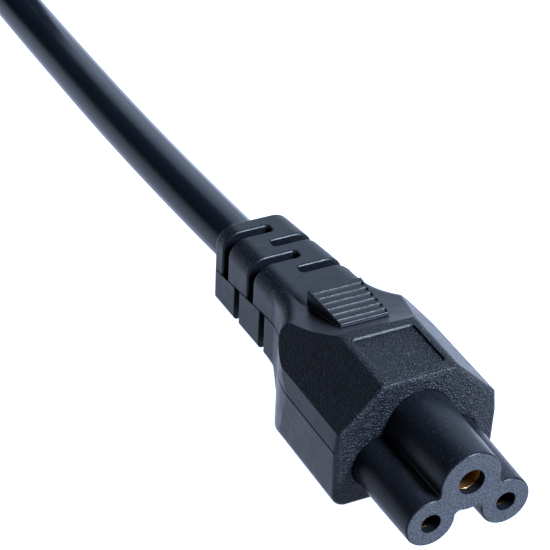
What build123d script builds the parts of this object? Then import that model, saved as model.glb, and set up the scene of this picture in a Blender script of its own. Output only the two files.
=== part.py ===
from build123d import *
import os
from math import acos, asin, cos, degrees, pi, radians, sin, tan

# A mains lead with a three-lobed (cloverleaf) connector. Millimetres, +Z up.
# The connector lies on its flat underside with its nose along -Y and its cord along +Y.
# Distances along the connector are measured back from the face of the nose.

# Mating face
pin_pitch = 10.0
pin_height = 5.6
earth_rise = 4.5
pin_hole_radius = 1.3
earth_hole_radius = 1.73
pin_lobe_radius = 3.5
earth_lobe_radius = 4.3
bridge_rise = 1.0
nose_length = 12.5
nose_draft = 1.2
nose_edge_radius = 0.3
valley_radius = 0.4
insert_root = 6.0
hole_land = 1.2
seam_gap = 0.1
seam_depth = 0.5

# Connector body
overall_length = 55.5
body_width = 22.0
body_height = 16.6
axis_height = 8.4
chamfer_foot_height = 11.05
chamfer_foot_inset = 0.3
base_inset = 0.25
crown_width = 10.2
crown_edge_radius = 1.4
flange_edge_radius = 0.7
base_edge_radius = 1.8
shoulder_distance = 23.5
flare_start = 24.5
flare_length = 16.0
scoop_end = 38.0
heel_distance = 36.8
heel_slope = 1.6
corner_blend = 1.9
corner_reach = 5.0
relief_lap = 0.15

# Label recess and thumb pad on top of the body
label_start = 14.2
label_length = 8.1
label_width = 8.4
label_depth = 0.25
label_corner = 0.6
pad_start = 26.6
pad_length = 8.0
pad_front_width = 6.6
pad_rear_width = 7.4
pad_height = 15.75
ridge_count = 6
ridge_pitch = 1.23
ridge_width = 0.8
ridge_depth = 0.3

# Strain relief of the connector
relief_root_width = 12.0
relief_end_width = 10.6
relief_top = 13.6
relief_base = 2.2
relief_top_drop = 0.4
relief_corner = 2.6
relief_foot_radius = 0.6
relief_end_radius = 0.5
relief_overlap = 8.0
parting_drop = 1.6
slot_root_gap = 0.75
slot_end_gap = 2.31
slot_count = 4
slot_share = 0.43
slot_end_share = 0.3
slot_overlap = 0.9
slot_edge_radius = 0.3
sleeve_wall = 0.55

# Contacts, cores and conductors
contact_wall = 0.4
contact_length = 12.8
contact_web = 1.0
crimp_radius = 1.25
crimp_length = 4.5
core_radius = 1.1
core_gap = 0.2
conductor_radius = 0.5
core_straight = 3.0
sheath_start = 34.0
sheath_straight = 3.0

# Cord, with the points of its route outside the strain relief
cord_diameter = 6.6
lead_points = [
    (-1.0, 28.5, 7.3),
    (-1.5, 48, 6.2),
    (-1.7, 68, 5.2),
    (-1.4, 88, 4.2),
    (-1.0, 106, 3.3),
    (-1.0, 122, 3.3),
]
tail_start_height = 21.0
tail_drop_start = 9.0
tail_drop_end = 22.0
bend_share = 0.45

# Put-away length: loops drawn in at the waist, with a tie round it
end_bend_radius = 20.0
waist_bend_radius = 30.0
waist_gap = 0.2
waist_straight = 14.0
hank_layers = 4
hank_flat = 0.5
tie_width = 12.0
tie_thickness = 1.0

# Plug at the far end, measured forward from the rear end of its strain relief
plug_gap = 24.0
plug_face_radius = 18.3
plug_length = 52.0
plug_relief_end_radius = 5.2
plug_relief_root_radius = 6.6
plug_relief_length = 15.5
plug_shoulder_distance = 20.5
plug_grip_radius = 13.6
plug_rim_length = 16.5
plug_rim_slope = 4.0
plug_edge_radius = 1.0
plug_waist_radius = 2.0
plug_grip_start = 22.6
plug_slot_first = 3.6
plug_slot_pitch = 3.2
plug_slot_count = 4
plug_slot_width = 1.45
plug_grip_grooves = 4
plug_groove_width = 1.2
plug_groove_depth = 0.7
plug_groove_pitch = 2.4
plug_sheath_depth = 17.0
plug_pin_pitch = 19.0
plug_pin_radius = 2.4
plug_pin_reach = 19.0
plug_pin_root = 13.0
plug_pin_root_radius = 2.0
plug_pin_tip = 1.2
bridge_radius = 13.6
bridge_depth = 7.0
clip_slot_width = 9.0
clip_slot_depth = 3.1
strap_width = 7.0
strap_thickness = 0.8
strap_length = 14.0
strap_front_inset = 1.0
strap_tab_rise = 4.0
earth_socket_offset = 9.8
earth_socket_radius = 2.5
earth_socket_wall = 0.5
guide_width = 5.0
guide_depth = 2.2

os.makedirs("parts", exist_ok=True)


def at(distance):
    """The y of a place a given distance behind the face of the nose."""
    return distance - overall_length / 2


def across(y):
    """An upright plane square to the connector at y, with its normal towards the nose."""
    return Plane(origin=(0, y, 0), x_dir=(1, 0, 0), z_dir=(0, -1, 0))


def bend_radii(points):
    """For each corner of a route, the largest arc that its two runs leave room for."""
    radii = []
    for before, here, after in zip(points, points[1:], points[2:]):
        arriving = Vector(here) - Vector(before)
        leaving = Vector(after) - Vector(here)
        turn = radians(arriving.get_angle(leaving))
        shorter_run = min(arriving.length, leaving.length)
        radii.append(bend_share * shorter_run / tan(turn / 2))
    return radii


def finish(builder, name):
    """Labels a finished piece and writes it."""
    builder.part.label = name
    export_step(builder.part, f"parts/{name}.step")


# Places that several pieces share
cord_radius = cord_diameter / 2
earth_height = pin_height + earth_rise
half_pitch = pin_pitch / 2
core_circle = (2 * core_radius + core_gap) / 3**0.5
flare_end = flare_start + flare_length
contact_end = hole_land + contact_length
crimp_end = contact_end + crimp_length
contacts = {
    "line": (-half_pitch, pin_height, pin_hole_radius),
    "neutral": (half_pitch, pin_height, pin_hole_radius),
    "earth": (0, earth_height, earth_hole_radius),
}
core_angles = {"line": radians(210), "neutral": radians(330), "earth": radians(90)}


# Nose insert: three lobes round the holes, with a root that the body grips
def lobes(growth=0.0):
    """Draws the three-lobed outline in the sketch at hand."""
    with Locations((-half_pitch, pin_height), (half_pitch, pin_height)):
        Circle(pin_lobe_radius + growth)
    with Locations((0, earth_height)):
        Circle(earth_lobe_radius + growth)
    bridge_half = half_pitch * (1 - bridge_rise / earth_rise)
    Polygon(
        (-bridge_half, pin_height + bridge_rise),
        (bridge_half, pin_height + bridge_rise),
        (0, earth_height),
        align=None,
    )


with BuildPart() as cloverleaf_insert:
    with BuildSketch(across(at(nose_length))) as nose_outline:
        lobes()
        fillet(nose_outline.vertices(), valley_radius)
    extrude(nose_outline.sketch, amount=nose_length, taper=nose_draft)
    nose_rim = cloverleaf_insert.faces().sort_by(Axis.Y)[0].outer_wire().edges()
    fillet(nose_rim, nose_edge_radius)
    extrude(nose_outline.sketch, amount=-insert_root)
    for x, height, hole_radius in contacts.values():
        with BuildSketch(across(at(0))) as hole:
            with Locations((x, height)):
                Circle(hole_radius)
        extrude(hole.sketch, amount=-nose_length - insert_root, mode=Mode.SUBTRACT)
        with BuildSketch(across(at(hole_land))) as seat:
            with Locations((x, height)):
                Circle(hole_radius + contact_wall)
        extrude(seat.sketch, amount=-nose_length - insert_root, mode=Mode.SUBTRACT)
finish(cloverleaf_insert, "cloverleaf_insert")

# Contacts: a socket for the pin, a closed web and a crimp barrel for the conductor
contact_parts = {}
for role, (x, height, hole_radius) in contacts.items():
    with BuildPart() as contact:
        with BuildSketch(across(at(hole_land))) as tube:
            with Locations((x, height)):
                Circle(hole_radius + contact_wall)
        extrude(tube.sketch, amount=-contact_length)
        with BuildSketch(across(at(hole_land))) as socket:
            with Locations((x, height)):
                Circle(hole_radius)
        extrude(socket.sketch, amount=contact_web - contact_length, mode=Mode.SUBTRACT)
        with BuildSketch(across(at(contact_end))) as barrel:
            with Locations((x, height)):
                Circle(crimp_radius)
        extrude(barrel.sketch, amount=-crimp_length)
        with BuildSketch(across(at(contact_end))) as wire_hole:
            with Locations((x, height)):
                Circle(conductor_radius)
        extrude(wire_hole.sketch, amount=-crimp_length, mode=Mode.SUBTRACT)
    finish(contact, f"{role}_contact")
    contact_parts[role] = contact.part


# Cores and conductors from the crimps to the start of the sheath
def core_route(role):
    """The core's corners: straight out of its crimp, across, and straight into the sheath."""
    x, height, _ = contacts[role]
    end_x = core_circle * cos(core_angles[role])
    end_height = axis_height + core_circle * sin(core_angles[role])
    return [
        (x, at(crimp_end), height),
        (x, at(crimp_end + core_straight), height),
        (end_x, at(sheath_start - core_straight), end_height),
        (end_x, at(sheath_start), end_height),
    ]


core_parts = {}
for role, (x, height, _) in contacts.items():
    route = core_route(role)
    wire_route = [(x, at(contact_end), height)] + route[1:]
    with BuildPart() as conductor:
        with BuildLine() as wire_path:
            FilletPolyline(*wire_route, radius=bend_radii(route))
        with BuildSketch(across(at(contact_end))) as wire_section:
            with Locations((x, height)):
                Circle(conductor_radius)
        sweep(wire_section.sketch, path=wire_path.line)
    finish(conductor, f"{role}_conductor")
    with BuildPart() as core:
        with BuildLine() as core_path:
            FilletPolyline(*route, radius=bend_radii(route))
        with BuildSketch(across(at(crimp_end))) as core_section:
            with Locations((x, height)):
                Circle(core_radius)
        sweep(core_section.sketch, path=core_path.line)
        core_parts[role] = core.part
        add(conductor.part, mode=Mode.SUBTRACT)
    finish(core, f"{role}_core")

# Cord from the start of its sheath to the put-away length
lead_route = [
    (0, at(sheath_start), axis_height),
    (0, at(sheath_start + sheath_straight), axis_height),
    *lead_points,
]
lead_radii = bend_radii(lead_route)
with BuildPart() as cord_lead:
    with BuildLine() as lead_path:
        FilletPolyline(*lead_route, radius=lead_radii)
    with BuildSketch(across(at(sheath_start))) as lead_section:
        with Locations((0, axis_height)):
            Circle(cord_radius)
    sweep(lead_section.sketch, path=lead_path.line)
finish(cord_lead, "cord_lead")
print("lead radii", [round(r, 1) for r in lead_radii])
lead_length = sum(edge.length for edge in lead_path.edges())
lead_share = cord_lead.part.volume / (pi * cord_radius**2 * lead_length)
print("lead length", round(lead_length, 1), "volume over section times length", round(lead_share, 5))

# Slots of the strain relief: each goes round two opposite corners, down to a sleeve round the cord
relief_length = overall_length - flare_end
exit_shift, _, exit_height = lead_points[0]
sleeve_size = cord_diameter + 2 * sleeve_wall
slot_offset = (relief_root_width - slot_overlap) / 2
slot_pitch = (relief_length - slot_root_gap - slot_end_gap) / (slot_count - 1 + slot_share)
slot_width = slot_share * slot_pitch
slots = []
for number in range(slot_count):
    slot_distance = flare_end + slot_root_gap + slot_width / 2 + number * slot_pitch
    lean = (slot_distance - flare_end) / relief_length
    slot_x = exit_shift * lean
    sleeve_height = axis_height + (exit_height - axis_height) * lean
    split_height = axis_height - parting_drop * lean
    hand = 1 if number % 2 == 0 else -1
    with BuildPart() as slot:
        with BuildSketch(across(at(slot_distance))) as slot_outline:
            with Locations(
                (slot_x + hand * slot_offset, split_height + relief_root_width / 2),
                (slot_x - hand * slot_offset, split_height - relief_root_width / 2),
            ):
                Rectangle(relief_root_width + slot_overlap, relief_root_width)
            with Locations((slot_x, sleeve_height)):
                RectangleRounded(sleeve_size, sleeve_size, relief_corner, mode=Mode.SUBTRACT)
        extrude(slot_outline.sketch, amount=slot_width / 2, both=True)
        upright = slot.edges().filter_by(Axis.Z)
        slot_ends = upright.filter_by(lambda e: abs(e.center().X - slot_x) < cord_radius)
        fillet(slot_ends, slot_end_share * slot_width)
    slots.append((slot.part, at(slot_distance), slot_x, sleeve_height + sleeve_size / 2, split_height))

# Strain relief: it narrows and leans a little with the cord, round above and nearly square below
relief_taper = (relief_root_width - relief_end_width) / 2 / relief_length
relief_start = flare_end - relief_overlap
start_half = relief_root_width / 2 + relief_taper * relief_overlap
start_shift = -exit_shift * relief_overlap / relief_length
start_top = relief_top + relief_top_drop * relief_overlap / relief_length
end_half = relief_end_width / 2
tip_top = relief_top - relief_top_drop
with BuildPart() as relief:
    with BuildSketch(Plane.XY.offset(relief_base)) as relief_plan:
        Polygon(
            (start_shift - start_half, at(relief_start)),
            (start_shift + start_half, at(relief_start)),
            (exit_shift + end_half, at(overall_length)),
            (exit_shift - end_half, at(overall_length)),
            align=None,
        )
    extrude(relief_plan.sketch, amount=start_top - relief_base)
    with BuildSketch(Plane.YZ) as relief_profile:
        Polygon(
            (at(relief_start), relief_base),
            (at(overall_length), relief_base),
            (at(overall_length), tip_top),
            (at(relief_start), start_top),
            align=None,
        )
    extrude(relief_profile.sketch, amount=2 * relief_root_width, both=True, mode=Mode.INTERSECT)
    lengthwise = relief.edges().filter_by(lambda e: abs(e.tangent_at(0.5).Y) > sin(pi / 4))
    fillet(lengthwise.filter_by(lambda e: e.center().Z > axis_height), relief_corner)
    lengthwise = relief.edges().filter_by(lambda e: abs(e.tangent_at(0.5).Y) > sin(pi / 4))
    fillet(lengthwise.group_by(Axis.Z)[0], relief_foot_radius)
    relief_rim = relief.faces().sort_by(Axis.Y)[-1].outer_wire().edges()
    fillet(relief_rim.filter_by(lambda e: e.center().Z > relief_base + relief_corner), relief_end_radius)

    # The edges of the upper slots are eased where they break the surface
    side_reach = end_half - slot_edge_radius
    for slot_part, slot_y, slot_x, sleeve_top, split_height in slots:
        add(slot_part, mode=Mode.SUBTRACT)
        cut_edges = relief.edges(Select.LAST).filter_by(lambda e: abs(e.center().Y - slot_y) < slot_width)
        upper = cut_edges.filter_by(lambda e: e.center().Z > split_height + slot_edge_radius)
        on_side = upper.filter_by(lambda e: abs(e.center().X - slot_x) > side_reach)
        on_top = upper.filter_by(lambda e: e.center().Z > sleeve_top + slot_edge_radius)
        on_top = on_top.filter_by(lambda e: abs(e.center().X - slot_x) <= side_reach)
        fillet(on_side + on_top.filter_by(Axis.Z, reverse=True), slot_edge_radius)

# Connector body: plan, side profile and cross-section cut one from another
half_width = body_width / 2
flare_inset = half_width - relief_root_width / 2 + relief_lap
flare_radius = (flare_length**2 + flare_inset**2) / (4 * flare_inset)
flare_turn = degrees(asin(flare_length / 2 / flare_radius))
scoop_height = relief_top - relief_lap
scoop_drop = body_height - scoop_height
scoop_run = scoop_end - shoulder_distance
scoop_radius = (scoop_run**2 + scoop_drop**2) / (2 * scoop_drop)
scoop_turn = degrees(asin(scoop_run / scoop_radius))
with BuildPart() as connector_shell:
    with BuildSketch(Plane.XY) as plan:
        with BuildLine():
            front_edge = Line((0, at(nose_length)), (half_width, at(nose_length)))
            side = Line(front_edge @ 1, (half_width, at(flare_start)))
            outward = JernArc(side @ 1, (0, 1), flare_radius, flare_turn)
            inward = JernArc(outward @ 1, outward % 1, flare_radius, -flare_turn)
            Line(inward @ 1, (0, at(flare_end)))
            mirror(about=Plane.YZ)
        make_face()
    extrude(plan.sketch, amount=body_height)

    # Side profile: level crown, a scoop down to the strain relief, and a short heel below
    with BuildSketch(Plane.YZ) as profile:
        with BuildLine():
            scoop = JernArc((at(scoop_end), scoop_height), (-1, 0), scoop_radius, -scoop_turn)
            Polyline(
                scoop @ 1,
                (at(nose_length), body_height),
                (at(nose_length), 0),
                (at(heel_distance), 0),
                (at(heel_distance + heel_slope), relief_base + relief_lap),
                (at(flare_end), relief_base + relief_lap),
                (at(flare_end), scoop_height),
                scoop @ 0,
            )
        make_face()
    extrude(profile.sketch, amount=body_width, both=True, mode=Mode.INTERSECT)

    # Cross-section: flat crown, sloping shoulders, sides drawn in from the parting line
    with BuildSketch(across(at(nose_length))) as section:
        Polygon(
            (-half_width + base_inset, 0),
            (half_width - base_inset, 0),
            (half_width, axis_height),
            (half_width - chamfer_foot_inset, chamfer_foot_height),
            (crown_width / 2, body_height),
            (-crown_width / 2, body_height),
            (-half_width + chamfer_foot_inset, chamfer_foot_height),
            (-half_width, axis_height),
            align=None,
        )
        fillet(section.vertices().group_by(Axis.Y)[-1], crown_edge_radius)
        fillet(section.vertices().group_by(Axis.Y)[0], base_edge_radius)
    extrude(section.sketch, amount=-flare_end, mode=Mode.INTERSECT)

    # The front's edges are eased, and those that run into the strain relief are rounded like its corners
    fillet(connector_shell.faces().sort_by(Axis.Y)[0].outer_wire().edges(), flange_edge_radius)
    rear_edges = connector_shell.edges().filter_by(lambda e: e.center().Y > at(scoop_end - corner_reach))
    upper_corners = rear_edges.filter_by(lambda e: e.center().Z > scoop_height - relief_lap)
    fillet(upper_corners.filter_by(lambda e: abs(e.center().X) > relief_end_width / 2), corner_blend)

    add(relief.part)

    # Label recess in the crown
    with BuildSketch(Plane.XY.offset(body_height)) as label:
        with Locations((0, at(label_start + label_length / 2))):
            RectangleRounded(label_width, label_length, label_corner)
    extrude(label.sketch, amount=-label_depth, mode=Mode.SUBTRACT)

    # Thumb pad: level on top, so that it stands proud at the rear of the scoop
    pad_end = pad_start + pad_length
    with BuildSketch(Plane.XY.offset(axis_height)) as pad:
        Polygon(
            (-pad_front_width / 2, at(pad_start)),
            (pad_front_width / 2, at(pad_start)),
            (pad_rear_width / 2, at(pad_end)),
            (-pad_rear_width / 2, at(pad_end)),
            align=None,
        )
    extrude(pad.sketch, amount=pad_height - axis_height)
    with BuildSketch(Plane.YZ) as grooves:
        ridge_places = [at(pad_start + ridge_pitch * (number + 0.5)) for number in range(ridge_count)]
        with Locations(*[(y, pad_height) for y in ridge_places]):
            Polygon((-ridge_width / 2, 0), (ridge_width / 2, 0), (0, -ridge_depth), align=None)
    extrude(grooves.sketch, amount=pad_front_width / 2, both=True, mode=Mode.SUBTRACT)

    # Room for what the moulding holds, with a fine seam round the nose
    with BuildSketch(across(at(nose_length))) as seam:
        lobes(seam_gap)
    extrude(seam.sketch, amount=-seam_depth, mode=Mode.SUBTRACT)
    extrude(nose_outline.sketch, amount=-insert_root, mode=Mode.SUBTRACT)
    for role in contacts:
        add(contact_parts[role], mode=Mode.SUBTRACT)
        add(core_parts[role], mode=Mode.SUBTRACT)
    add(cord_lead.part, mode=Mode.SUBTRACT)
finish(connector_shell, "connector_shell")

# Put-away length: the outer shape of loops drawn in at the waist
waist_half = cord_radius + waist_gap / 2
hank_start = lead_points[-1][1]
bend_spread = waist_bend_radius + end_bend_radius
loop_turn = degrees(acos((waist_half + waist_bend_radius) / bend_spread))
loop_centre = waist_straight / 2 + bend_spread * sin(radians(loop_turn))
hank_half_length = loop_centre + end_bend_radius + cord_radius - hank_flat
hank_middle = hank_start + hank_half_length
hank_end = hank_middle + hank_half_length
hank_height = hank_layers * cord_diameter + tie_thickness
tie_inner_half = waist_half + cord_radius
with BuildPart() as cord_hank:
    with BuildSketch(Plane((0, hank_middle, 0))) as hank_outline:
        with BuildLine():
            waist_line = Line((tie_inner_half, 0), (tie_inner_half, waist_straight / 2))
            swell = JernArc(waist_line @ 1, (0, 1), waist_bend_radius - cord_radius, -loop_turn)
            JernArc(swell @ 1, swell % 1, end_bend_radius + cord_radius, 90 + loop_turn)
            mirror(about=Plane.YZ)
            mirror(about=Plane.XZ)
        make_face()
        hank_width = 2 * (end_bend_radius + cord_radius)
        Rectangle(hank_width, 2 * hank_half_length, mode=Mode.INTERSECT)
    extrude(hank_outline.sketch, amount=hank_height)
    with BuildSketch(Plane((0, hank_middle, 0))) as tie_room:
        Rectangle(2 * tie_inner_half, tie_width)
    extrude(tie_room.sketch, amount=tie_thickness, mode=Mode.SUBTRACT)
finish(cord_hank, "cord_hank")

# Tie: a band round the waist of the hank
with BuildPart() as hank_tie:
    with BuildSketch(across(hank_middle)) as band:
        with Locations((0, hank_height / 2 + tie_thickness / 2)):
            Rectangle(2 * (tie_inner_half + tie_thickness), hank_height + tie_thickness)
        with Locations((0, tie_thickness + (hank_height - tie_thickness) / 2)):
            Rectangle(2 * tie_inner_half, hank_height - tie_thickness, mode=Mode.SUBTRACT)
    extrude(band.sketch, amount=tie_width / 2, both=True)
finish(hank_tie, "hank_tie")

# Plug end: planes and distances run forward from the rear end of the plug's strain relief
plug_start = hank_end + plug_gap
plug_axis = Axis((0, plug_start, plug_face_radius), (0, 1, 0))


def ahead(distance):
    """An upright plane through the plug's axis, with its normal towards the pins."""
    return Plane(
        origin=(0, plug_start + distance, plug_face_radius), x_dir=(-1, 0, 0), z_dir=(0, 1, 0)
    )


# Cord from the hank into the plug
tail_route = [
    (0, hank_end, tail_start_height),
    (0, hank_end + tail_drop_start, tail_start_height),
    (0, hank_end + tail_drop_end, plug_face_radius),
    (0, plug_start + plug_sheath_depth, plug_face_radius),
]
tail_radii = bend_radii(tail_route)
with BuildPart() as cord_tail:
    with BuildLine() as tail_path:
        FilletPolyline(*tail_route, radius=tail_radii)
    with BuildSketch(across(hank_end)) as tail_section:
        with Locations((0, tail_start_height)):
            Circle(cord_radius)
    sweep(tail_section.sketch, path=tail_path.line)
finish(cord_tail, "cord_tail")
print("tail radii", [round(r, 1) for r in tail_radii])

# Plug pins, with crimp barrels at the rear
plug_cores = {"line": -plug_pin_pitch / 2, "neutral": plug_pin_pitch / 2, "earth": 0.0}
pin_root_distance = plug_length - plug_pin_root
plug_crimp_end = pin_root_distance - crimp_length
pin_parts = {}
for role in ("line", "neutral"):
    with BuildPart() as plug_pin:
        with BuildSketch(ahead(plug_length)) as pin_section:
            with Locations((-plug_cores[role], 0)):
                Circle(plug_pin_radius)
        extrude(pin_section.sketch, amount=plug_pin_reach)
        fillet(plug_pin.edges().sort_by(Axis.Y)[-1], plug_pin_tip)
        with BuildSketch(ahead(pin_root_distance)) as pin_root:
            with Locations((-plug_cores[role], 0)):
                Circle(plug_pin_root_radius)
        extrude(pin_root.sketch, amount=plug_pin_root)
        with BuildSketch(ahead(plug_crimp_end)) as pin_crimp:
            with Locations((-plug_cores[role], 0)):
                Circle(crimp_radius)
                Circle(conductor_radius, mode=Mode.SUBTRACT)
        extrude(pin_crimp.sketch, amount=crimp_length)
    finish(plug_pin, f"plug_{role}_pin")
    pin_parts[role] = plug_pin.part

# Earth strap: a bent strip with a side contact at each end, and the socket that seats on it
strap_back = plug_length - strap_length
clip_floor = plug_face_radius - clip_slot_depth
with BuildPart() as plug_earth_strap:
    with BuildSketch(Plane((0, 0, plug_face_radius), x_dir=(0, 1, 0), z_dir=(1, 0, 0))) as strip:
        with Locations((plug_start + strap_back, 0)):
            Rectangle(
                strap_length - strap_front_inset,
                2 * (clip_floor + strap_thickness),
                align=(Align.MIN, Align.CENTER),
            )
        with Locations((plug_start + strap_back + strap_thickness, 0)):
            Rectangle(strap_length, 2 * clip_floor, align=(Align.MIN, Align.CENTER), mode=Mode.SUBTRACT)
    extrude(strip.sketch, amount=strap_width / 2, both=True)
finish(plug_earth_strap, "plug_earth_strap")

socket_outer = earth_socket_radius + earth_socket_wall
socket_start = strap_back + strap_thickness
with BuildPart() as plug_earth_socket:
    with BuildSketch(ahead(socket_start)) as socket_ring:
        with Locations((0, earth_socket_offset)):
            Circle(socket_outer)
            Circle(earth_socket_radius, mode=Mode.SUBTRACT)
    extrude(socket_ring.sketch, amount=plug_length - socket_start)
finish(plug_earth_socket, "plug_earth_socket")

# Bridge: the disc in the plug's face that holds the pins and the socket
with BuildPart() as plug_bridge:
    with BuildSketch(ahead(plug_length - bridge_depth)) as disc:
        Circle(bridge_radius)
        with Locations((-plug_pin_pitch / 2, 0), (plug_pin_pitch / 2, 0)):
            Circle(plug_pin_root_radius, mode=Mode.SUBTRACT)
        with Locations((0, earth_socket_offset)):
            Circle(socket_outer, mode=Mode.SUBTRACT)
    extrude(disc.sketch, amount=bridge_depth)
finish(plug_bridge, "plug_bridge")


# Cores and conductors inside the plug
def plug_core_route(role):
    """The core's corners from its pin or strap back to the end of the sheath."""
    x = plug_cores[role]
    height = plug_face_radius + (strap_tab_rise if role == "earth" else 0)
    begin = strap_back if role == "earth" else plug_crimp_end
    end_x = core_circle * cos(core_angles[role])
    end_height = plug_face_radius + core_circle * sin(core_angles[role])
    return [
        (x, plug_start + begin, height),
        (x, plug_start + begin - core_straight, height),
        (end_x, plug_start + plug_sheath_depth + core_straight, end_height),
        (end_x, plug_start + plug_sheath_depth, end_height),
    ]


plug_core_parts = {}
plug_wire_parts = {}
for role in plug_cores:
    route = plug_core_route(role)
    x, begin, height = route[0]
    wire_begin = begin if role == "earth" else plug_start + pin_root_distance
    with BuildPart() as plug_conductor:
        with BuildLine() as plug_wire_path:
            FilletPolyline((x, wire_begin, height), *route[1:], radius=bend_radii(route))
        with BuildSketch(across(wire_begin)) as plug_wire_section:
            with Locations((x, height)):
                Circle(conductor_radius)
        sweep(plug_wire_section.sketch, path=plug_wire_path.line)
    finish(plug_conductor, f"plug_{role}_conductor")
    plug_wire_parts[role] = plug_conductor.part
    with BuildPart() as plug_core:
        with BuildLine() as plug_core_path:
            FilletPolyline(*route, radius=bend_radii(route))
        with BuildSketch(across(begin)) as plug_core_section:
            with Locations((x, height)):
                Circle(core_radius)
        sweep(plug_core_section.sketch, path=plug_core_path.line)
        plug_core_parts[role] = plug_core.part
        add(plug_conductor.part, mode=Mode.SUBTRACT)
    finish(plug_core, f"plug_{role}_core")

# Plug moulding: turned outline, then the cuts for the earth contacts, guides and grip
rim_start = plug_length - plug_rim_length
with BuildPart() as plug_shell:
    with BuildSketch(Plane((0, plug_start, plug_face_radius))) as turned:
        Polygon(
            (0, 0),
            (plug_relief_end_radius, 0),
            (plug_relief_root_radius, plug_relief_length),
            (plug_grip_radius, plug_shoulder_distance),
            (plug_grip_radius, rim_start - plug_rim_slope),
            (plug_face_radius, rim_start),
            (plug_face_radius, plug_length),
            (0, plug_length),
            align=None,
        )
        outer_corners = turned.vertices().filter_by(lambda v: v.X > plug_relief_end_radius)
        waist_corners = outer_corners.filter_by(lambda v: v.Y < rim_start)
        fillet(waist_corners, plug_waist_radius)
        fillet(turned.vertices().sort_by(lambda v: v.X + v.Y)[-1], plug_edge_radius)
    revolve(turned.sketch, axis=plug_axis)
    with BuildSketch(Plane((0, plug_start, plug_face_radius))) as rings:
        ring_places = [plug_grip_start + number * plug_groove_pitch for number in range(plug_grip_grooves)]
        with Locations(*[(plug_grip_radius, distance) for distance in ring_places]):
            Rectangle(2 * plug_groove_depth, plug_groove_width)
    revolve(rings.sketch, axis=plug_axis, mode=Mode.SUBTRACT)

    # Side slots for the earth contacts above and below, and guide grooves left and right
    with BuildSketch(ahead(strap_back)) as side_cuts:
        with Locations((0, clip_floor), (0, -clip_floor - 2 * clip_slot_depth)):
            Rectangle(clip_slot_width, 2 * clip_slot_depth, align=(Align.CENTER, Align.MIN))
        with Locations((plug_face_radius, 0), (-plug_face_radius, 0)):
            Rectangle(2 * guide_depth, guide_width)
    extrude(side_cuts.sketch, amount=strap_length, mode=Mode.SUBTRACT)

    # Strain relief slots, from the sides and from above and below in turn
    for number in range(plug_slot_count):
        with BuildSketch(ahead(plug_slot_first + number * plug_slot_pitch)) as plug_slot:
            Circle(plug_relief_root_radius)
            Circle(cord_radius + sleeve_wall, mode=Mode.SUBTRACT)
            if number % 2 == 0:
                Rectangle(2 * cord_radius, 2 * plug_relief_root_radius, mode=Mode.SUBTRACT)
            else:
                Rectangle(2 * plug_relief_root_radius, 2 * cord_radius, mode=Mode.SUBTRACT)
        extrude(plug_slot.sketch, amount=plug_slot_width / 2, both=True, mode=Mode.SUBTRACT)

    # Room for what the moulding holds
    with BuildSketch(ahead(plug_length - bridge_depth)) as bridge_room:
        Circle(bridge_radius)
    extrude(bridge_room.sketch, amount=bridge_depth, mode=Mode.SUBTRACT)
    with BuildSketch(ahead(socket_start)) as socket_room:
        with Locations((0, earth_socket_offset)):
            Circle(socket_outer)
    extrude(socket_room.sketch, amount=plug_length - socket_start, mode=Mode.SUBTRACT)
    for role in ("line", "neutral"):
        add(pin_parts[role], mode=Mode.SUBTRACT)
    for role in plug_cores:
        add(plug_core_parts[role], mode=Mode.SUBTRACT)
        add(plug_wire_parts[role], mode=Mode.SUBTRACT)
    add(plug_earth_strap.part, mode=Mode.SUBTRACT)
    add(cord_tail.part, mode=Mode.SUBTRACT)
finish(plug_shell, "plug_shell")
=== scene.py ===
from math import acos, cos, pi, radians, sin
from typing import NamedTuple

import bpy
from bpy.props import FloatProperty, FloatVectorProperty, IntProperty, PointerProperty
from bpy.types import Operator, Panel, PropertyGroup
from mathutils import Matrix, Vector


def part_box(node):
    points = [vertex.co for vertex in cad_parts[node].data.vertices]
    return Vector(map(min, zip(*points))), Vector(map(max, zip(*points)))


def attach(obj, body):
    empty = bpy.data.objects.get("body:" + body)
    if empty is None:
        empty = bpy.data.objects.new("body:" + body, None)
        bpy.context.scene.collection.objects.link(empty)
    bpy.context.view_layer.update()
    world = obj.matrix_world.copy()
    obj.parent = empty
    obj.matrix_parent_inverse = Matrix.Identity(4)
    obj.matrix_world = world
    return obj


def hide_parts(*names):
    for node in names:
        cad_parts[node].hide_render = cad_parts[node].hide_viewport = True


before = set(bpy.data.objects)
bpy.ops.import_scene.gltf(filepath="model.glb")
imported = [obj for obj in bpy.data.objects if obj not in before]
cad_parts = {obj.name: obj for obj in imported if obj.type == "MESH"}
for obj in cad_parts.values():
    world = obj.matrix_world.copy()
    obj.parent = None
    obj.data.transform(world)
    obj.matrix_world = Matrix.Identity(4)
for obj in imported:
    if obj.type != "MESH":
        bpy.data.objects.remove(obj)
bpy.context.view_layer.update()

bl_info = {
    "name": "Cloverleaf power cord",
    "version": (1, 0, 0),
    "blender": (4, 5, 0),
    "location": "3D View > Sidebar > Power cord",
    "description": "Finishes, cord, strap and stage for a mains lead with a cloverleaf connector",
    "category": "Object",
}

MM = 0.001

# Boxes of the pieces that the finishes, the cord and the strap are placed by
shell_low, shell_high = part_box("connector_shell")
nose_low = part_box("cloverleaf_insert")[0]
hank_low, hank_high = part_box("cord_hank")
tie_low, tie_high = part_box("hank_tie")
plug_low, plug_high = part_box("plug_shell")
plug_axis = (plug_low.z + plug_high.z) / 2
tie_thickness = tie_high.z - hank_high.z

# The lead's route in metres, from inside the strain relief to the hank
LEAD_POINTS = [
    (0.0, 0.00625, 0.0084),
    (0.0, 0.00925, 0.0084),
    (-0.0010, 0.0285, 0.0073),
    (-0.0015, 0.048, 0.0062),
    (-0.0017, 0.068, 0.0052),
    (-0.0014, 0.088, 0.0042),
    (-0.0010, 0.106, 0.0033),
    (-0.0010, 0.122, 0.0033),
    (-0.0006, 0.136, 0.0033),
    (0.0016, 0.155, 0.0033),
]

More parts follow.
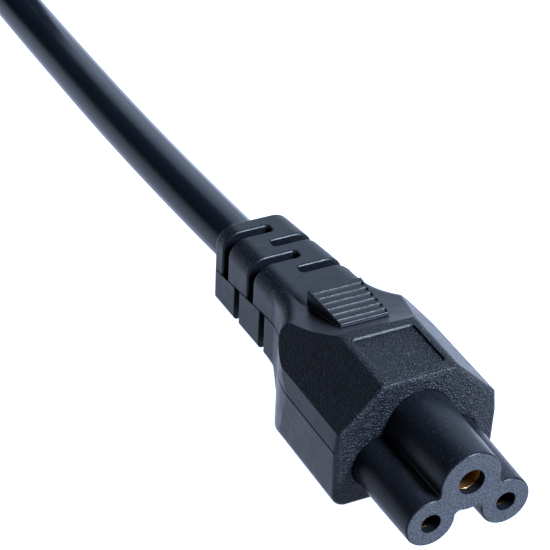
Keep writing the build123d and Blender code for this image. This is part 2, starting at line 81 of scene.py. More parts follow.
# The hank: control points round each waist arc and each end, and lengths along and across it
WAIST_POINTS = 4
END_POINTS = 24
LEAD_JOIN = 16 * MM
LIFT_END = 7 * MM
LIFT_FADE = 22 * MM
CLIMB_START = 12 * MM
CLIMB_RUN = 48 * MM
SAG_START = 14 * MM
SAG_RUN = 34 * MM
SAG_WIDTH = 18 * MM

# The strap: its outline's corners, its lap, and how the lapped end rises and is rounded
STRAP_CORNER = 4 * MM
STRAP_LAP = 22 * MM
STRAP_RISE_START = 5 * MM
STRAP_RISE = 6 * MM
STRAP_TIP_SHARE = 0.15
STRAP_THICKNESS_SHARE = 0.92
STRAP_SECTIONS = 150
STRAP_SHARP_ANGLE = radians(40)

# The stage: the floor, where the walls fade out, the softbox, and the camera's sensor and near limit
FLOOR_HALF = 6.0
FLOOR_DROP = 0.05 * MM
FLOOR_GREY = (0.1, 0.1, 0.1)
WALL_FADE = (0.02, 0.18)
SOFTBOX_TOWARD = (0.52, 0.66, 0.54)
SOFTBOX_FADE = (0.80, 0.97)
SENSOR_WIDTH = 36.0
CLIP_START = 0.005

# Colours of the wires inside the mouldings
COPPER = (0.72, 0.34, 0.18)
BROWN = (0.14, 0.05, 0.02)
BLUE = (0.02, 0.12, 0.45)
GREEN = (0.05, 0.26, 0.05)
YELLOW = (0.62, 0.48, 0.03)
CORES = ("line", "neutral", "earth")


class Places(NamedTuple):
    """Where a moulding's finish changes, in metres."""

    # The y where the front's grain ends, and where the crown's does
    front_end: float
    grain_end: float
    # The thumb pad's front in y, its half width and the height of its top
    pad_front: float
    pad_half: float
    pad_top: float
    # The parting line's height, the y from which it falls, and its slope there
    parting_height: float
    parting_bend: float
    parting_fall: float


CONNECTOR_PLACES = Places(
    front_end=shell_low.y + 2 * MM,
    grain_end=nose_low.y + 23.5 * MM,
    pad_front=nose_low.y + 26.6 * MM,
    pad_half=3.75 * MM,
    pad_top=15.75 * MM,
    parting_height=8.4 * MM,
    parting_bend=shell_high.y - 15 * MM,
    parting_fall=0.107,
)
# The plug is grained all along and has no pad, so its pad lies beyond it
PLUG_PLACES = Places(
    front_end=plug_high.y,
    grain_end=plug_high.y,
    pad_front=plug_high.y + 1 * MM,
    pad_half=0.0,
    pad_top=plug_high.z,
    parting_height=plug_axis,
    parting_bend=plug_high.y,
    parting_fall=0.0,
)


# Settings that a user would change
def length_of(name, description, default, precision=4):
    """A length in metres."""
    return FloatProperty(
        name=name, description=description, default=default, unit="LENGTH", precision=precision
    )


def angle_of(name, description, degrees):
    """An angle, given in degrees."""
    return FloatProperty(name=name, description=description, default=radians(degrees), subtype="ANGLE")


def colour_of(name, description, default, brightest=1.0):
    """A colour."""
    return FloatVectorProperty(
        name=name, description=description, default=default, subtype="COLOR", min=0.0, max=brightest
    )


def place_of(name, description, default):
    """A point in metres."""
    return FloatVectorProperty(
        name=name, description=description, default=default, subtype="XYZ", precision=5
    )


class CordSettings(PropertyGroup):
    """Sizes of the cord and of its put-away length."""

    diameter: length_of("Diameter", "Outer diameter of the sheath", 0.0066)
    length: length_of("Length", "Length of the cord from connector to plug", 1.25, 2)
    loops: IntProperty(name="Loops", description="Whole loops in the hank", default=3, min=1)
    layer_pitch: length_of("Layer pitch", "Rise from one loop to the next", 0.0067)
    end_bend: length_of("End bend", "Bend radius at the ends of the hank", 0.020)
    waist_bend: length_of("Waist bend", "Bend radius either side of the strap", 0.030)
    waist_half: length_of("Waist half", "Half the spacing of the two sides", 0.0034)
    waist_straight: length_of("Waist straight", "Straight length under the strap", 0.014)
    sag: length_of("Sag", "Drop of the near end where nothing lies below", 0.003)


class FinishSettings(PropertyGroup):
    """Colours of the finishes."""

    overmould: colour_of("Overmould", "Black of the mouldings", (0.0016, 0.0019, 0.0026))
    nose_face: colour_of("Nose face", "Matt face of the nose", (0.0194, 0.0202, 0.0228))
    nose_side: colour_of("Nose side", "Satin sides of the nose", (0.0023, 0.0026, 0.0034))
    # Painted highlight: the light colour painted on the ridges' crests and the label's rear edge
    rim_highlight: colour_of("Painted edge highlights", "Ridges and the label's rear edge", (0.050, 0.047, 0.042))
    sheath: colour_of("Sheath", "Black of the cord", (0.0032, 0.0041, 0.0057))
    brass: colour_of("Brass", "Contacts", (0.56, 0.33, 0.11))
    nickel: colour_of("Nickel", "Plug pins and earth contacts", (0.70, 0.68, 0.64))
    strap: colour_of("Strap", "Woven strap round the hank", (0.006, 0.0065, 0.008))


class StageSettings(PropertyGroup):
    """Camera, lights and floor."""

    azimuth: angle_of("Azimuth", "Camera direction round the part", -27.91)
    elevation: angle_of("Elevation", "Camera height angle", 34.25)
    roll: angle_of("Roll", "Camera roll", 2.64)
    distance: length_of("Distance", "Camera distance from its target", 0.27685)
    target: place_of("Target", "Point in the middle of the picture", (-0.013427, -0.00275, 0.026717))
    lens: FloatProperty(name="Lens", description="Focal length for a 36 mm sensor", default=156.42)
    floor_light: colour_of("Floor light", "Brightness of the lit floor", (1.02, 1.18, 1.60), 4.0)
    tint: colour_of("Tint", "Colour of the studio light", (0.62, 0.76, 1.0))
    horizon: FloatProperty(name="Horizon", description="Brightness of the walls near the floor", default=0.85)
    ceiling: FloatProperty(name="Ceiling", description="Brightness of the room above", default=0.04)
    softbox: FloatProperty(name="Softbox", description="Brightness of the panel behind", default=3.1)
    key_power: FloatProperty(
        name="Key power", description="Power of the front light", default=34.0, unit="POWER"
    )
    key_size: length_of("Key size", "Width of the front light", 0.20)
    key_place: place_of("Key place", "Where the front light stands", (0.238, -0.388, 0.382))


# Shader trees written as expressions
class Field:
    """An output socket of a node tree. Arithmetic on it adds Math nodes."""

    def __init__(self, tree, socket):
        self.tree = tree
        self.socket = socket

    def maths(self, operation, *values):
        """A Math node on the given values."""
        return self.tree.node("ShaderNodeMath", {"operation": operation}, dict(enumerate(values)))

    def __add__(self, other):
        return self.maths("ADD", self, other)

    def __sub__(self, other):
        return self.maths("SUBTRACT", self, other)

    def __rsub__(self, other):
        return self.maths("SUBTRACT", other, self)

    def __mul__(self, other):
        return self.maths("MULTIPLY", self, other)

    def __abs__(self):
        return self.maths("ABSOLUTE", self)

    def at_most(self, limit):
        """The field, or the limit where that is less."""
        return self.maths("MINIMUM", self, limit)

    def at_least(self, limit):
        """The field, or the limit where that is more."""
        return self.maths("MAXIMUM", self, limit)

    __radd__ = __add__
    __rmul__ = __mul__


class Tree:
    """A node tree that is written as expressions."""

    def __init__(self, tree):
        self.tree = tree

    def node(self, kind, settings=None, sockets=None, out=0):
        """Adds a node: its settings first, then the values or links of its sockets. Gives one output."""
        made = self.tree.nodes.new(kind)
        for key, value in (settings or {}).items():
            setattr(made, key, value)
        for key, value in (sockets or {}).items():
            self.feed(self.find(made.inputs, key), value)
        return Field(self, self.find(made.outputs, out))

    @staticmethod
    def find(group, key):
        """A socket by its number, or by its name or identifier."""
        if isinstance(key, int):
            return group[key]
        return next((s for s in group if s.identifier == key), None) or group[key]

    def feed(self, socket, value):
        """Links a field to a socket, or sets the socket's own value."""
        if isinstance(value, Field):
            self.tree.links.new(value.socket, socket)
        elif socket.type == "RGBA" and len(value) == 3:
            socket.default_value = (*value, 1)
        else:
            socket.default_value = value

    def split(self, vector):
        """The x, y and z of a vector."""
        first = self.node("ShaderNodeSeparateXYZ", {}, {0: vector})
        return [Field(self, socket) for socket in first.socket.node.outputs]

    def step(self, value, low, high):
        """Goes smoothly from 0 at low to 1 at high."""
        sockets = {"Value": value, "From Min": low, "From Max": high}
        return self.node("ShaderNodeMapRange", {"interpolation_type": "SMOOTHSTEP"}, sockets)

    def blend(self, share, first, second):
        """A colour between two others."""
        sockets = {"Factor": share, "A_Color": first, "B_Color": second}
        return self.node("ShaderNodeMix", {"data_type": "RGBA"}, sockets, out="Result_Color")


class Finish(Tree):
    """A material whose surface is one Principled shader."""

    def __init__(self, name):
        self.material = bpy.data.materials.new(name)
        self.material.use_nodes = True
        super().__init__(self.material.node_tree)
        self.shader = self.tree.nodes["Principled BSDF"]

    def surface(self, **values):
        """Feeds the shader's sockets, named with underscores for spaces."""
        for key, value in values.items():
            self.feed(self.shader.inputs[key.replace("_", " ").title().replace("Ior", "IOR")], value)
        return self.material

    def place(self):
        """The point on the piece, in the shared frame."""
        return self.node("ShaderNodeTexCoord", out="Object")

    def normal(self):
        """The surface's own normal."""
        return self.node("ShaderNodeNewGeometry", out="Normal")

    def facing(self):
        """The x, y and z of the surface's normal."""
        return self.split(self.normal())

    def noise(self, vector, cell, detail=2.0, roughness=0.5):
        """Cloudy noise with cells of a given size in metres."""
        sockets = {"Vector": vector, "Scale": 1 / cell, "Detail": detail, "Roughness": roughness}
        return self.node("ShaderNodeTexNoise", {}, sockets)

    def along_y(self, vector, share):
        """The vector with its y scaled, which draws noise out along y where the share is under 1."""
        return self.node("ShaderNodeVectorMath", {"operation": "MULTIPLY"}, {0: vector, 1: (1.0, share, 1.0)})

    def rounded(self, radius):
        """The normal over edges that are rounded by a radius in metres."""
        return self.node("ShaderNodeBevel", {"samples": 6}, {"Radius": radius})

    def off_flat(self, normal):
        """How far a rounded normal leans from the surface's own: 0 on a flat, more at an edge."""
        sockets = {0: normal, 1: self.normal()}
        return 1 - self.node("ShaderNodeVectorMath", {"operation": "DOT_PRODUCT"}, sockets, out="Value")

    def bump(self, height, depth, strength, normal=None):
        """A normal from a height and a depth in metres, over the surface's own normal or a rounded one."""
        sockets = {"Height": height, "Distance": depth, "Strength": strength}
        if normal:
            sockets["Normal"] = normal
        return self.node("ShaderNodeBump", {}, sockets)


def scaled(colour, share):
    """A colour made lighter or darker."""
    return tuple(part * share for part in colour)


def finish_settings():
    """The colours that a user may have changed."""
    return bpy.context.scene.power_cord_finishes


# Finishes
def pad_masks(f, place, ny, at):
    """The upper edges of the thumb pad's ridges, where a highlight is painted, and the grooves between the
    ridges.
    """
    x, y, z = place
    beside = f.step(abs(x), at.pad_half, at.pad_half + 0.1 * MM)
    on_pad = f.step(y, at.pad_front - 0.2 * MM, at.pad_front) * (1 - beside)
    over_groove = f.step(z, at.pad_top - 0.12 * MM, at.pad_top - 0.03 * MM)
    crest = f.step(0 - ny, 0.35, 0.55) * over_groove * on_pad
    groove = f.step(z, at.pad_top - 0.40 * MM, at.pad_top - 0.34 * MM) * (1 - over_groove) * on_pad
    return crest, groove


def parting_line(f, place, nx, at):
    """A thin line along the sides, level up to a place on y and from there falling evenly."""
    _, y, z = place
    fallen = (y - at.parting_bend).at_least(0.0)
    off_line = abs(z - at.parting_height + at.parting_fall * fallen)
    return (1 - f.step(off_line, 0.08 * MM, 0.16 * MM)) * f.step(abs(nx), 0.7, 0.9)


def overmould_finish(name, at):
    """Black moulded PVC: spark grain on the front, the crown and the shoulders, satin on the sides, with
    painted highlights on rounded edges, ridge crests and front-facing walls.
    """
    f = Finish(name)
    colour = finish_settings().overmould
    place = f.place()
    parts = f.split(place)
    nx, ny, nz = f.facing()

    # Where the grain lies, where the edges are, and where highlights are painted on ridge crests and
    # front-facing walls
    forward = f.step(0 - ny, 0.55, 0.85)
    behind = f.step(parts[1], at.front_end, at.front_end + 0.8 * MM)
    within = 1 - f.step(parts[1], at.grain_end, at.grain_end + 0.8 * MM)
    front = forward * (1 - behind)
    # Front-facing walls behind the front catch the front light; a highlight is painted on them below
    ledge = forward * behind * within
    crest, groove = pad_masks(f, parts, ny, at)
    shoulder = f.step(abs(nx), 0.3, 0.55) * f.step(nz, 0.3, 0.55)
    crown = f.step(nz, 0.7, 0.9) * within
    grained = (front + shoulder + crown).at_most(1.0)
    line = parting_line(f, parts, nx, at)
    edges = f.rounded(0.24 * MM)
    # Rounded edges: the grain is smoothed there, and a highlight is painted on them below
    on_edge = f.step(f.off_flat(edges), 0.02, 0.16)

    # Heights
    fine = f.noise(place, cell=0.26 * MM, roughness=0.6)
    coarse = f.noise(place, cell=1.5 * MM)
    cloud = f.noise(place, cell=8 * MM, detail=3.0)
    grain = (0.14 + 1.36 * grained - 0.90 * shoulder) * (1 - 0.75 * on_edge)
    relief = fine * grain + 0.08 * coarse - 2.0 * line

    # Colour, from the whole surface to its smallest marks
    shade = f.blend(cloud, scaled(colour, 0.75), scaled(colour, 1.30))
    speckle = f.step(f.noise(place, cell=0.21 * MM, detail=1.0), 0.56, 0.74) * (0.15 + 0.85 * grained)
    shade = f.blend(speckle * 0.75, shade, scaled(colour, 8.5))
    # Painted highlight: rounded edges lightened as if catching the light
    shade = f.blend(on_edge * 0.5, shade, scaled(colour, 7.0))
    # Painted highlight on the ridges' crests and on front-facing walls behind the front, broken up by the
    # grain
    rim_highlight = (ledge + crest) * (0.25 + 0.75 * f.step(fine, 0.38, 0.62))
    shade = f.blend(rim_highlight, shade, finish_settings().rim_highlight)
    shade = f.blend(line, shade, scaled(colour, 0.05))

    uneven = 0.20 * (coarse - 0.5) + 0.16 * (cloud - 0.5)
    return f.surface(
        base_color=shade,
        roughness=0.35 + 0.02 * grained + uneven + 0.5 * line + 0.33 * groove,
        normal=f.bump(relief, depth=0.30 * MM, strength=0.8, normal=edges),
        specular_ior_level=0.13,
    )


def nose_finish(name, toward):
    """The insert: matt, lighter and finely grained on the face that looks along y, satin on its sides."""
    f = Finish(name)
    side_colour = finish_settings().nose_side
    face_colour = finish_settings().nose_face
    place = f.place()
    face = f.step(toward * f.facing()[1], 0.84, 0.97)
    fine = f.noise(place, cell=0.20 * MM, roughness=0.6)
    smear = f.noise(f.along_y(place, 0.22), cell=2.4 * MM, detail=3.0)
    dust = f.step(f.noise(place, cell=0.24 * MM, detail=1.0), 0.64, 0.78) * (1 - face)
    side = f.blend(smear, scaled(side_colour, 0.6), scaled(side_colour, 1.8))
    side = f.blend(dust * 0.6, side, scaled(side_colour, 9.0))
    front = f.blend(f.step(fine, 0.3, 0.7), scaled(face_colour, 0.55), scaled(face_colour, 1.45))
    relief = fine * (0.30 + 0.70 * face) + 0.8 * smear * (1 - face)
    return f.surface(
        base_color=f.blend(face, side, front),
        roughness=0.30 + 0.26 * face + 0.24 * (smear - 0.5),
        normal=f.bump(relief, depth=0.16 * MM, strength=0.8, normal=f.rounded(0.15 * MM)),
        specular_ior_level=0.085,
    )


def sheath_finish(name):
    """Extruded glossy PVC with faint lengthwise lines."""
    f = Finish(name)
    colour = finish_settings().sheath
    place = f.place()
    lines = f.noise(f.along_y(place, 0.05), cell=0.7 * MM)
    cloud = f.noise(place, cell=14 * MM)
    fine = f.noise(place, cell=0.3 * MM)
    return f.surface(
        base_color=f.blend(cloud, scaled(colour, 0.8), scaled(colour, 1.25)),
        roughness=0.22 + 0.10 * (lines - 0.5) + 0.05 * (cloud - 0.5),
        normal=f.bump(lines + 0.35 * fine, depth=0.03 * MM, strength=0.4),
        specular_ior_level=0.11,
    )


def metal_finish(name, colour, roughness, tarnish):
    """Plated or plain metal with fine drawn lines and a little tarnish."""
    f = Finish(name)
    place = f.place()
    drawn = f.noise(f.along_y(place, 0.06), cell=0.25 * MM)
    stain = f.noise(place, cell=3.5 * MM, detail=3.0, roughness=0.6)
    return f.surface(
        base_color=f.blend(f.step(stain, 0.45, 0.8), colour, scaled(colour, tarnish)),
        metallic=1.0,
        roughness=roughness + 0.14 * (drawn - 0.5) + 0.16 * (stain - 0.5),
        normal=f.bump(drawn, depth=0.01 * MM, strength=0.4, normal=f.rounded(0.12 * MM)),
    )


def core_finish(name, colour, stripe=None):
    """Insulation of one core, with a second colour along it if it has one."""
    f = Finish(name)
    cloud = f.noise(f.place(), cell=2.5 * MM)
    shade = f.blend(cloud, scaled(colour, 0.85), scaled(colour, 1.1))
    if stripe:
        shade = f.blend(f.step(f.facing()[0], -0.05, 0.05), shade, stripe)
    return f.surface(
        base_color=shade,
        roughness=0.32 + 0.1 * (cloud - 0.5),
        normal=f.bump(cloud, depth=0.02 * MM, strength=1.0),
    )


def strap_finish(name):
    """Black woven strap: ribs across, threads along, and a dull nap."""
    f = Finish(name)
    colour = finish_settings().strap
    place = f.place()
    ribs = {"Vector": place, "Scale": 190.0, "Distortion": 0.6}
    rib = f.node("ShaderNodeTexWave", {"bands_direction": "Y"}, ribs)
    thread = f.noise(f.along_y(place, 0.4), cell=0.35 * MM, detail=3.0, roughness=0.65)
    nap = f.noise(place, cell=3 * MM)
    shade = f.blend(thread, scaled(colour, 0.6), scaled(colour, 1.7))
    return f.surface(
        base_color=f.blend(nap * 0.4, shade, scaled(colour, 1.3)),
        roughness=0.82 + 0.12 * (thread - 0.5),
        normal=f.bump(rib * 0.6 + thread, depth=0.16 * MM, strength=0.8, normal=f.rounded(0.2 * MM)),
    )


def dress(node, material):
    """Gives a CAD node its finish."""
    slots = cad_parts[node].data.materials
    slots.clear()
    slots.append(material)


# The cord's line
def ease(value):
    """Goes smoothly from 0 to 1 as value does."""
    share = min(max(value, 0.0), 1.0)
    return share * share * (3 - 2 * share)


def turn_points(radius, sweep, count):
    """The angle and the reach of a turn's control points from its centre, for a bend of a given radius."""
    reach = radius / cos(sweep / count / 2)
    return [(sweep * (number + 0.5) / count, reach) for number in range(count)]


class Hank:
    """Plan and heights of the loops, which are drawn in at the waist."""

    def __init__(self, cord):
        self.cord = cord
        self.radius = cord.diameter / 2
        self.middle = (hank_low.y + hank_high.y) / 2
        self.end = hank_high.y
        spread = cord.end_bend + cord.waist_bend
        self.turn = acos((cord.waist_half + cord.waist_bend) / spread)
        self.centre = cord.waist_straight / 2 + spread * sin(self.turn)

    def side(self, sign):
        """One side from the near loop to the far loop: a waist arc, the waist and another arc."""
        cord = self.cord
        arc = []
        for angle, reach in turn_points(cord.waist_bend, self.turn, WAIST_POINTS):
            x = cord.waist_half + cord.waist_bend - reach * cos(angle)
            arc.append((sign * x, cord.waist_straight / 2 + reach * sin(angle)))
        near = [(x, self.middle - y) for x, y in reversed(arc)]
        far = [(x, self.middle + y) for x, y in arc]
        return near + [(sign * cord.waist_half, self.middle)] + far

    def bend(self, sign):
        """Round one end: right to left at the far end, left to right at the near end."""
        arc = []
        for angle, reach in turn_points(self.cord.end_bend, pi + 2 * self.turn, END_POINTS):
            x, y = reach * cos(angle - self.turn), self.centre + reach * sin(angle - self.turn)
            arc.append((sign * x, self.middle + sign * y))
        return arc

    def over_strap(self, y):
        """How much the passes are lifted by the strap below them, which fades out beside it."""
        return tie_thickness * (1 - ease((abs(y - self.middle) - LIFT_END) / LIFT_FADE))

    def climb(self, x, y):
        """The share of a layer that is gained down the left side and round the near end."""
        if y > self.middle:
            return 0.0
        return 1.0 if x >= 0 else ease((self.middle - CLIMB_START - y) / CLIMB_RUN)

    def sag(self, x, y):
        """The near end's right half hangs a little, since nothing lies below it."""
        return self.cord.sag * ease(x / SAG_WIDTH) * ease((self.middle - SAG_START - y) / SAG_RUN)

    def points(self):
        """The whole hank, from the end of the lead to the plug."""
        pitch = self.cord.layer_pitch
        right, left = self.side(1), self.side(-1)[::-1]
        far, near = self.bend(1), self.bend(-1)
        lead_in = [(x, y) for x, y in right if y > self.middle - LEAD_JOIN]
        route = [(x, y, self.radius + self.over_strap(y)) for x, y in lead_in]
        for loop in range(self.cord.loops):
            z = self.radius + loop * pitch
            if loop:
                route += self.risen(right, z)
            route += [(x, y, z) for x, y in far]
            route += [(x, y, z + self.over_strap(y) + pitch * self.climb(x, y)) for x, y in left]
            route += [(x, y, z + pitch * self.climb(x, y) - self.sag(x, y)) for x, y in near]
        top = self.radius + self.cord.loops * pitch
        route += self.risen([(x, y) for x, y in right if y <= self.middle], top)
        return route + self.tail(top)

    def risen(self, side, z):
        """A right side at its layer's height, over the strap and sagging at the near end."""
        return [(x, y, z + self.over_strap(y) - self.sag(x, y)) for x, y in side]

    def tail(self, z):
        """Over the far loops and down into the plug."""
        return [
            (3.2 * MM, self.middle + 18 * MM, z + 0.6 * MM),
            (2.2 * MM, self.middle + 38 * MM, z + 0.1 * MM),
            (0.7 * MM, self.end - 10 * MM, z + 0.1 * MM),
            (0.0, self.end + 3 * MM, z),
            (0.0, self.end + 13 * MM, plug_axis + 2.1 * MM),
            (0.0, self.end + 24 * MM, plug_axis),
            (0.0, plug_low.y + 8 * MM, plug_axis),
            (0.0, plug_low.y + 17 * MM, plug_axis),
        ]


# The strap's shape
class Ring:
    """The outline that the strap follows: a rounded rectangle round the waist, in x and z."""

    def __init__(self, low, high, corner):
        self.corner = corner
        self.half = (high.x - low.x) / 2 - corner
        self.rise = (high.z - low.z) / 2 - corner
        self.middle = (high.z + low.z) / 2
        self.quarter = corner * pi / 2
        self.length = 4 * (self.half + self.rise + self.quarter)

    def at(self, distance):
        """The point and the outward direction at a distance from the middle of the right side, going up."""
        left = distance % self.length
        x, z, angle = self.half + self.corner, 0.0, 0.0
        spans = [("line", self.rise)]
        for run in (self.half, self.rise, self.half, self.rise):
            spans += [("arc", self.quarter), ("line", 2 * run)]
        for kind, span in spans:
            part = min(left, span)
            if kind == "line":
                x, z = x - part * sin(angle), z + part * cos(angle)
            else:
                turn = part / self.corner
                x += self.corner * (cos(angle + turn) - cos(angle))
                z += self.corner * (sin(angle + turn) - sin(angle))
                angle += turn
            left -= part
            if left <= 0:
                break
        return (x, self.middle + z), (cos(angle), sin(angle))


def strap_mesh(name):
    """A band once round the tie's outline, whose end laps over its start and is rounded."""
    ring = Ring(tie_low, tie_high, STRAP_CORNER)
    total = ring.length + STRAP_LAP
    tip = (tie_high.y - tie_low.y) / 2
    middle = (tie_low.y + tie_high.y) / 2
    verts, faces = [], []
    for number in range(STRAP_SECTIONS + 1):
        distance = total * number / STRAP_SECTIONS
        (x, z), (out_x, out_z) = ring.at(distance)
        lapped = ease((distance - ring.length + STRAP_RISE_START) / STRAP_RISE)
        lift = tie_thickness * lapped - tie_thickness
        near_end = max(0.0, distance - total + tip) / tip
        reach = tip * max(STRAP_TIP_SHARE, (1 - near_end**2) ** 0.5)
        for depth in (lift, lift + STRAP_THICKNESS_SHARE * tie_thickness):
            for y in (middle - reach, middle + reach):
                verts.append((x + depth * out_x, y, z + depth * out_z))
    for a in range(0, 4 * STRAP_SECTIONS, 4):
        b = a + 4
        faces += [(a, b, b + 1, a + 1), (a + 2, a + 3, b + 3, b + 2)]
        faces += [(a, a + 2, b + 2, b), (a + 1, b + 1, b + 3, a + 3)]
    last = 4 * STRAP_SECTIONS
    faces += [(0, 1, 3, 2), (last, last + 2, last + 3, last + 1)]
    mesh = bpy.data.meshes.new(name)
    mesh.from_pydata(verts, [], faces)
    mesh.update()
    return mesh


# Operators, one for each group of pieces
class POWER_CORD_OT_connector(Operator):
    """Finish the connector's overmould and its nose"""

    bl_idname = "power_cord.connector"
    bl_label = "Connector"

    def execute(self, context):
        dress("connector_shell", overmould_finish("connector_pvc", CONNECTOR_PLACES))
        dress("cloverleaf_insert", nose_finish("nose_plastic", toward=-1))
        return {"FINISHED"}


class POWER_CORD_OT_contacts(Operator):
    """Finish the contacts, cores and conductors at both ends"""

    bl_idname = "power_cord.contacts"
    bl_label = "Contacts and cores"

    def execute(self, context):
        colour = context.scene.power_cord_finishes.brass
        brass = metal_finish("contact_brass", colour, roughness=0.34, tarnish=0.4)
        # Painted shade: the line and neutral contacts sit deep in their holes, so their brass is darkened to
        # a painted shade
        brass_in_shade = metal_finish("contact_brass_in_shade", scaled(colour, 0.07), roughness=0.45, tarnish=0.5)
        copper = metal_finish("conductor_copper", COPPER, roughness=0.28, tarnish=0.7)
        sleeves = {
            "line": core_finish("core_brown", BROWN),
            "neutral": core_finish("core_blue", BLUE),
            "earth": core_finish("core_green_yellow", GREEN, YELLOW),
        }
        for core in CORES:
            dress(f"{core}_contact", brass if core == "earth" else brass_in_shade)
            for end in ("", "plug_"):
                dress(f"{end}{core}_core", sleeves[core])
                dress(f"{end}{core}_conductor", copper)
        return {"FINISHED"}


class POWER_CORD_OT_plug(Operator):
    """Finish the plug's moulding, bridge, pins and earth contacts"""

    bl_idname = "power_cord.plug"
    bl_label = "Plug"

    def execute(self, context):
        dress("plug_shell", overmould_finish("plug_pvc", PLUG_PLACES))
        dress("plug_bridge", nose_finish("bridge_plastic", toward=1))
        colour = context.scene.power_cord_finishes.nickel
        nickel = metal_finish("pin_nickel", colour, roughness=0.20, tarnish=0.8)
        for node in ("plug_line_pin", "plug_neutral_pin", "plug_earth_strap", "plug_earth_socket"):
            dress(node, nickel)
        return {"FINISHED"}


class POWER_CORD_OT_strap(Operator):
    """Put a woven strap round the waist of the hank"""

    bl_idname = "power_cord.strap"
    bl_label = "Strap"

    def execute(self, context):
        strap = bpy.data.objects.new("strap", strap_mesh("strap"))
        context.scene.collection.objects.link(strap)
        strap.data.materials.append(strap_finish("woven_strap"))
        for polygon in strap.data.polygons:
            polygon.use_smooth = True
        strap.data.set_sharp_from_angle(angle=STRAP_SHARP_ANGLE)
        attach(strap, "root")
        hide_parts("hank_tie")
        return {"FINISHED"}


class POWER_CORD_OT_cord(Operator):
    """Lay the cord from the connector through the hank to the plug"""

    bl_idname = "power_cord.cord"
    bl_label = "Cord"

    def execute(self, context):
        settings = context.scene.power_cord_sizes
        route = LEAD_POINTS + Hank(settings).points()
        curve = bpy.data.curves.new("cord", "CURVE")
        curve.dimensions = "3D"
        curve.resolution_u = 10
        curve.bevel_depth = settings.diameter / 2
        curve.bevel_resolution = 6
        curve.use_fill_caps = True
        spline = curve.splines.new("NURBS")
        spline.points.add(len(route) - 1)
        for point, place in zip(spline.points, route):
            point.co = (*place, 1)
        spline.order_u = 3
        spline.use_endpoint_u = True
        cord = bpy.data.objects.new("cord", curve)
        context.scene.collection.objects.link(cord)
        curve.materials.append(sheath_finish("sheath_pvc"))
        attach(cord, "root")
        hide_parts("cord_lead", "cord_hank", "cord_tail")
        return {"FINISHED"}


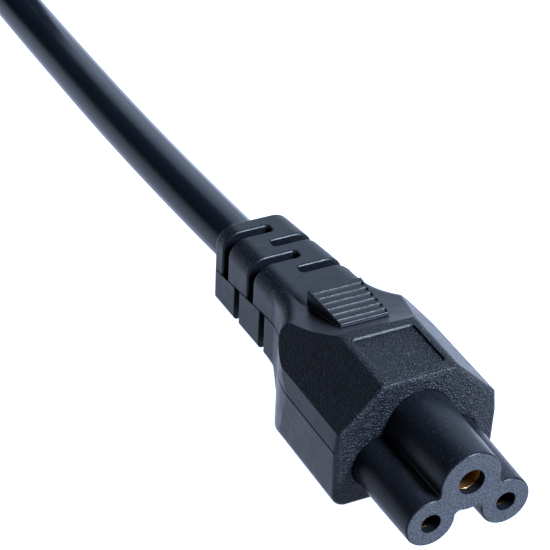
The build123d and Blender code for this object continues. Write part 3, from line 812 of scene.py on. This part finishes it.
class POWER_CORD_OT_stage(Operator):
    """Set the floor, the lights and the camera"""

    bl_idname = "power_cord.stage"
    bl_label = "Stage"

    def execute(self, context):
        scene = context.scene
        stage = scene.power_cord_stage
        scene.view_settings.view_transform = "Standard"
        self.lay_floor(scene, stage)
        self.paint_room(scene, stage)
        self.hang_key(scene, stage)
        self.aim_camera(scene, stage)
        return {"FINISHED"}

    @staticmethod
    def lay_floor(scene, stage):
        """A wide floor that glows white, a hair below the part."""
        half = FLOOR_HALF
        mesh = bpy.data.meshes.new("floor")
        corners = [(-half, -half, 0), (half, -half, 0), (half, half, 0), (-half, half, 0)]
        mesh.from_pydata(corners, [], [(0, 1, 2, 3)])
        floor = bpy.data.objects.new("floor", mesh)
        floor.location.z = -FLOOR_DROP
        scene.collection.objects.link(floor)
        glow = tuple(stage.floor_light)
        finish = Finish("floor_white")
        finish.surface(base_color=FLOOR_GREY, roughness=0.9, emission_color=glow, emission_strength=1.0)
        mesh.materials.append(finish.material)

    @staticmethod
    def paint_room(scene, stage):
        """Pale walls low down, a dark ceiling, and a softbox behind on the right."""
        tint = tuple(stage.tint)
        world = bpy.data.worlds.new("studio")
        world.use_nodes = True
        scene.world = world
        sky = Tree(world.node_tree)
        x, y, z = sky.split(sky.node("ShaderNodeTexCoord", out="Generated"))
        above = sky.step(z, *WALL_FADE)
        shade = sky.blend(above, scaled(tint, stage.horizon), scaled(tint, stage.ceiling))
        along = x * SOFTBOX_TOWARD[0] + y * SOFTBOX_TOWARD[1] + z * SOFTBOX_TOWARD[2]
        shade = sky.blend(sky.step(along, *SOFTBOX_FADE), shade, scaled(tint, stage.softbox))
        sky.feed(world.node_tree.nodes["Background"].inputs["Color"], shade)

    @staticmethod
    def hang_key(scene, stage):
        """One strong light in front on the right, aimed at the part."""
        data = bpy.data.lights.new("key", "AREA")
        data.energy = stage.key_power
        data.size = stage.key_size
        data.color = tuple(stage.tint)
        key = bpy.data.objects.new("key", data)
        key.location = stage.key_place
        key.rotation_euler = (-key.location).to_track_quat("-Z", "Y").to_euler()
        scene.collection.objects.link(key)

    @staticmethod
    def aim_camera(scene, stage):
        """A camera at the photograph's angle."""
        data = bpy.data.cameras.new("camera")
        data.lens = stage.lens
        data.sensor_width = SENSOR_WIDTH
        data.clip_start = CLIP_START
        camera = bpy.data.objects.new("camera", data)
        level = cos(stage.elevation)
        back = Vector((sin(stage.azimuth) * level, -cos(stage.azimuth) * level, sin(stage.elevation)))
        turn = back.to_track_quat("Z", "Y").to_matrix() @ Matrix.Rotation(stage.roll, 3, "Z")
        place = Vector(stage.target) + back * stage.distance
        camera.matrix_world = Matrix.Translation(place) @ turn.to_4x4()
        scene.collection.objects.link(camera)
        scene.camera = camera


class POWER_CORD_PT_pieces(Panel):
    """Lists the pieces and their settings"""

    bl_label = "Power cord"
    bl_idname = "POWER_CORD_PT_pieces"
    bl_space_type = "VIEW_3D"
    bl_region_type = "UI"
    bl_category = "Power cord"

    def draw(self, context):
        layout = self.layout
        for operator in OPERATORS:
            layout.operator(operator.bl_idname)
        for group, place in SETTINGS.items():
            for name in group.__annotations__:
                layout.prop(getattr(context.scene, place), name)


OPERATORS = (
    POWER_CORD_OT_connector,
    POWER_CORD_OT_contacts,
    POWER_CORD_OT_plug,
    POWER_CORD_OT_strap,
    POWER_CORD_OT_cord,
    POWER_CORD_OT_stage,
)
SETTINGS = {
    CordSettings: "power_cord_sizes",
    FinishSettings: "power_cord_finishes",
    StageSettings: "power_cord_stage",
}


def register():
    for cls in (*SETTINGS, *OPERATORS, POWER_CORD_PT_pieces):
        bpy.utils.register_class(cls)
    for cls, name in SETTINGS.items():
        setattr(bpy.types.Scene, name, PointerProperty(type=cls))


def unregister():
    for name in SETTINGS.values():
        delattr(bpy.types.Scene, name)
    for cls in reversed((*SETTINGS, *OPERATORS, POWER_CORD_PT_pieces)):
        bpy.utils.unregister_class(cls)


def main():
    register()
    bpy.ops.power_cord.connector()
    bpy.ops.power_cord.contacts()
    bpy.ops.power_cord.plug()
    bpy.ops.power_cord.strap()
    bpy.ops.power_cord.cord()
    bpy.ops.power_cord.stage()


if __name__ == "__main__":
    main()
